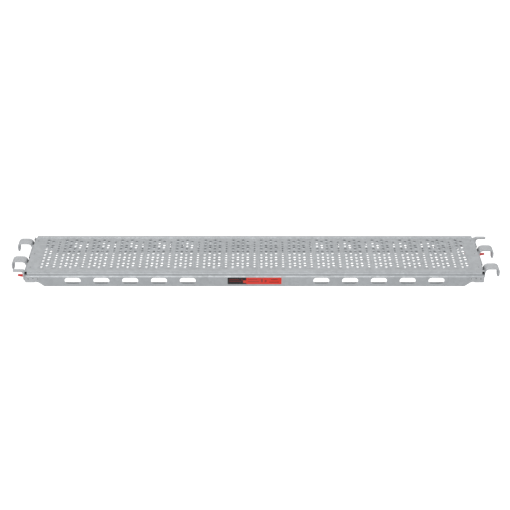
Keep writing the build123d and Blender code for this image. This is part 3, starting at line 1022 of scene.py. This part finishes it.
def claw_mesh(name, side, across):
    path = claw_path()
    lengths = [0]
    for (p, n), (q, m) in zip(path, path[1:]):
        lengths.append(lengths[-1] + (q - p).length)
    total = lengths[-1]
    rings = []
    for (point, normal), length in zip(path, lengths):
        left = total - length
        half = claw_half
        if left < 20 * mm:
            half = claw_half / 2 * (1 + math.sin(math.pi / 2 * left / (20 * mm)))
        fade = min(1, max(0, (length - 14 * mm) / (10 * mm))) * min(1, max(0, (left - 12 * mm) / (10 * mm)))
        ring_points = []
        for u, h in claw_section(half, 1.1 * mm * fade):
            place = point + normal * h
            ring_points.append((side * (end_plate + place.x), side * (across + u), place.y))
        rings.append(ring_points)
    for near in (rings[-1], rings[0]):
        middle = sum((Vector(p) for p in near), Vector()) / len(near)
        drawn = [tuple(middle.lerp(Vector(p), 0.93)) for p in near]
        rings = rings + [drawn] if near is rings[-1] else [drawn] + rings
    built = bmesh.new()
    made = skinned(built, rings)
    built.faces.new(made[0])
    built.faces.new(made[-1][::-1])
    bmesh.ops.recalc_face_normals(built, faces=built.faces)
    return finished_mesh(built, name)


def weld(name, points, radius):
    """A weld bead along a line: a rope of overlapping drops, sunk into the plates it joins."""
    line = [Vector(p) for p in points]
    stations = []
    for p, q in zip(line, line[1:]):
        steps = max(2, round((q - p).length / (0.9 * mm)))
        stations += [p.lerp(q, k / steps) for k in range(steps)]
    stations.append(line[-1])
    rings = []
    for i, point in enumerate(stations):
        ahead = stations[min(i + 1, len(stations) - 1)] - stations[max(i - 1, 0)]
        turn = ahead.normalized().to_track_quat("Z", "Y").to_matrix()
        swell = radius * (0.86 + 0.14 * math.sin(i * 1.9)) * (0.55 if i in (0, len(stations) - 1) else 1)
        rings.append([tuple(point + turn @ Vector((swell * math.cos(a), swell * math.sin(a), 0)))
                      for a in (2 * math.pi * k / 10 for k in range(10))])
    return extruded(name, rings)


for side, sign in (("right", 1), ("left", -1)):
    beads = []
    for place, across in claw_places.items():
        claw = new_piece(f"claw_{side}_{place}_bar", claw_mesh(f"claw_{side}_{place}_bar", sign, across))
        finish_faces(claw, 50)
        paint(claw, bar_zinc)
        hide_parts(f"claw_{side}_{place}")
        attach(claw, "plank")
        for edge in (-1, 1):
            x, y = sign * (end_plate + 0.6 * mm), sign * (across + edge * 22.4 * mm)
            beads.append(weld("bead", [(x, y, deck_top - 43 * mm), (x, y, deck_top - 25 * mm)], 2.0 * mm))
        x, z = sign * (end_plate + 0.6 * mm), deck_top - 44.4 * mm
        y0, y1 = sign * (across - 21 * mm), sign * (across + 21 * mm)
        beads.append(weld("bead", [(x, y0, z), (x, y1, z)], 2.0 * mm))
    for across, radius in ((131.2 * mm, 1.5 * mm), (146.0 * mm, 2.6 * mm)):
        x, y = sign * (end_plate + 0.3 * mm), sign * across
        beads.append(weld("bead", [(x, y, deck_top - 51 * mm), (x, y, deck_top - 12 * mm)], radius))
    welds = new_piece(f"welds_{side}", joined(f"welds_{side}", beads))
    finish_faces(welds, 80)
    paint(welds, bar_zinc)
    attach(welds, "plank")

# ---------------------------------------------------------------------------------------------
# Rivets
# Plain steel rivets through the sheet and the caps: a low domed head outside and a formed head
# inside. They are duller and darker than the zinc round them.
rivet_steel = galvanised(
    "rivet_steel", (0.42, 0.43, 0.44, 1), (0.28, 0.288, 0.295, 1), 300.0, 0.6, 0.2, 0.5, 0.2
)


def dome(radius, rise, shank):
    """A rivet's head and shank as one turned shape, about Z, with its seat at the origin."""
    crown = [(0.0, rise), (0.45 * radius, 0.93 * rise), (0.8 * radius, 0.62 * rise)]
    return crown + [(radius, 0.12 * rise), (radius, 0), (shank, 0)]


def turned(profile, count, matrix):
    """Quads of a turned shape whose profile starts and ends on its axis."""
    faces = []
    for (r0, z0), (r1, z1) in zip(profile, profile[1:]):
        for i in range(count):
            a, b = 2 * math.pi * i / count, 2 * math.pi * (i + 1) / count
            quad = [(r0 * math.cos(a), r0 * math.sin(a), z0), (r1 * math.cos(a), r1 * math.sin(a), z1),
                    (r1 * math.cos(b), r1 * math.sin(b), z1), (r0 * math.cos(b), r0 * math.sin(b), z0)]
            if r0 == 0:
                quad = quad[:3]
            if r1 == 0:
                quad = [quad[0], quad[1], quad[3]]
            faces.append([tuple(matrix @ Vector(p)) for p in quad])
    return faces


def rivet_faces(grip, matrix):
    head = dome(3.5 * mm, 0.8 * mm, 2 * mm)
    tail = [(r * 0.95, -grip - z) for r, z in reversed(head)]
    return turned(head + tail, 20, matrix)


def rivets(name, places, slot_node):
    polygons = []
    for matrix, grip in places:
        polygons += rivet_faces(grip, matrix)
    mesh = mesh_of(name, polygons)
    built = bmesh.new()
    built.from_mesh(mesh)
    bmesh.ops.recalc_face_normals(built, faces=built.faces)
    built.to_mesh(mesh)
    built.free()
    piece = new_piece(name, mesh)
    finish_faces(piece, 60)
    paint(piece, rivet_steel)
    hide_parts(slot_node)
    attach(piece, "plank")


for side, sign in (("right", 1), ("left", -1)):
    x = sign * (end_plate - 22 * mm)
    rivets(
        f"deck_rivet_heads_{side}",
        [(Matrix.Translation((x, y * mm, surface)), 4 * mm) for y in (-111, 0, 111)],
        f"deck_rivets_{side}",
    )
    for name, face in (("front", -1), ("back", 1)):
        places = []
        for inset, height in ((15.5, 41), (36, 43.5), (57, 41)):
            middle = Vector((sign * (end_plate - inset * mm), face * (half_width - 1 * mm), height * mm))
            places.append((Matrix.Translation(middle) @ Matrix.Rotation(-face * math.pi / 2, 4, "X"), 4 * mm))
        rivets(f"side_rivet_heads_{side}_{name}", places, f"side_rivets_{side}_{name}")

# ---------------------------------------------------------------------------------------------
# Label
# A printed film on the front web: a black field and a red field, with plain bars and one plain
# square where printing would be. It says nothing.
faded_red, brown, bright_red = (0.18, 0.02, 0.014, 1), (0.36, 0.03, 0.018, 1), (0.72, 0.06, 0.03, 1)
label_bars = [
    (-110, -66, 34, 38, faded_red),
    (-110, -58, 25, 29, faded_red),
    (-58, -52, 30, 41, faded_red),
    (-50, -36, 18, 32, bright_red),
    (-28, 12, 35, 38, brown),
    (-28, 20, 24, 27, brown),
    (28, 36, 22, 40, brown),
    (44, 52, 22, 34, brown),
    (72, 100, 34, 39, brown),
    (64, 106, 21, 25, brown),
]


def label_film():
    material = bpy.data.materials.new("label_film")
    material.use_nodes = True
    tree = material.node_tree
    link = tree.links.new
    shader = tree.nodes["Principled BSDF"]
    place = node(tree, "ShaderNodeTexCoord").outputs["Object"]
    axes = node(tree, "ShaderNodeSeparateXYZ")
    link(place, axes.inputs[0])

    def between(value, low, high):
        over = node(tree, "ShaderNodeMath", operation="GREATER_THAN")
        over.inputs[1].default_value = low
        link(value, over.inputs[0])
        under = node(tree, "ShaderNodeMath", operation="LESS_THAN")
        under.inputs[1].default_value = high
        link(value, under.inputs[0])
        both = node(tree, "ShaderNodeMath", operation="MULTIPLY")
        link(over.outputs[0], both.inputs[0])
        link(under.outputs[0], both.inputs[1])
        return both.outputs[0]

    def times(first, second):
        made = node(tree, "ShaderNodeMath", operation="MULTIPLY")
        link(first, made.inputs[0])
        link(second, made.inputs[1])
        return made.outputs[0]

    black = between(axes.outputs["X"], -0.2, -36 * mm)
    colour = mix(tree, "MIX", black, (0.84, 0.036, 0.018, 1), (0.022, 0.019, 0.02, 1))
    for x0, x1, z0, z1, ink in label_bars:
        along = between(axes.outputs["X"], x0 * mm, x1 * mm)
        bar = times(along, between(axes.outputs["Z"], z0 * mm, z1 * mm))
        colour = mix(tree, "MIX", bar, colour, ink)
    scuff = node(tree, "ShaderNodeTexNoise", Scale=160.0, Detail=6.0, Roughness=0.7)
    link(place, scuff.inputs["Vector"])
    film = node(tree, "ShaderNodeGroup", node_tree=grime)
    film.inputs["Amount"].default_value = 0.12
    film.inputs["Dirt"].default_value = (0.35, 0.34, 0.33, 1)
    film.inputs["Roughness"].default_value = 0.34
    link(colour, film.inputs["Color"])
    link(film.outputs["Color"], shader.inputs["Base Color"])
    link(film.outputs["Roughness"], shader.inputs["Roughness"])
    relief = node(tree, "ShaderNodeBump")
    relief.inputs["Strength"].default_value = 0.08
    relief.inputs["Distance"].default_value = 0.1 * mm
    link(scuff.outputs["Fac"], relief.inputs["Height"])
    link(relief.outputs["Normal"], shader.inputs["Normal"])
    return material


label = refined("label_sticker", 0.1 * mm, label_film(), "plank")
label.name = "label_film"
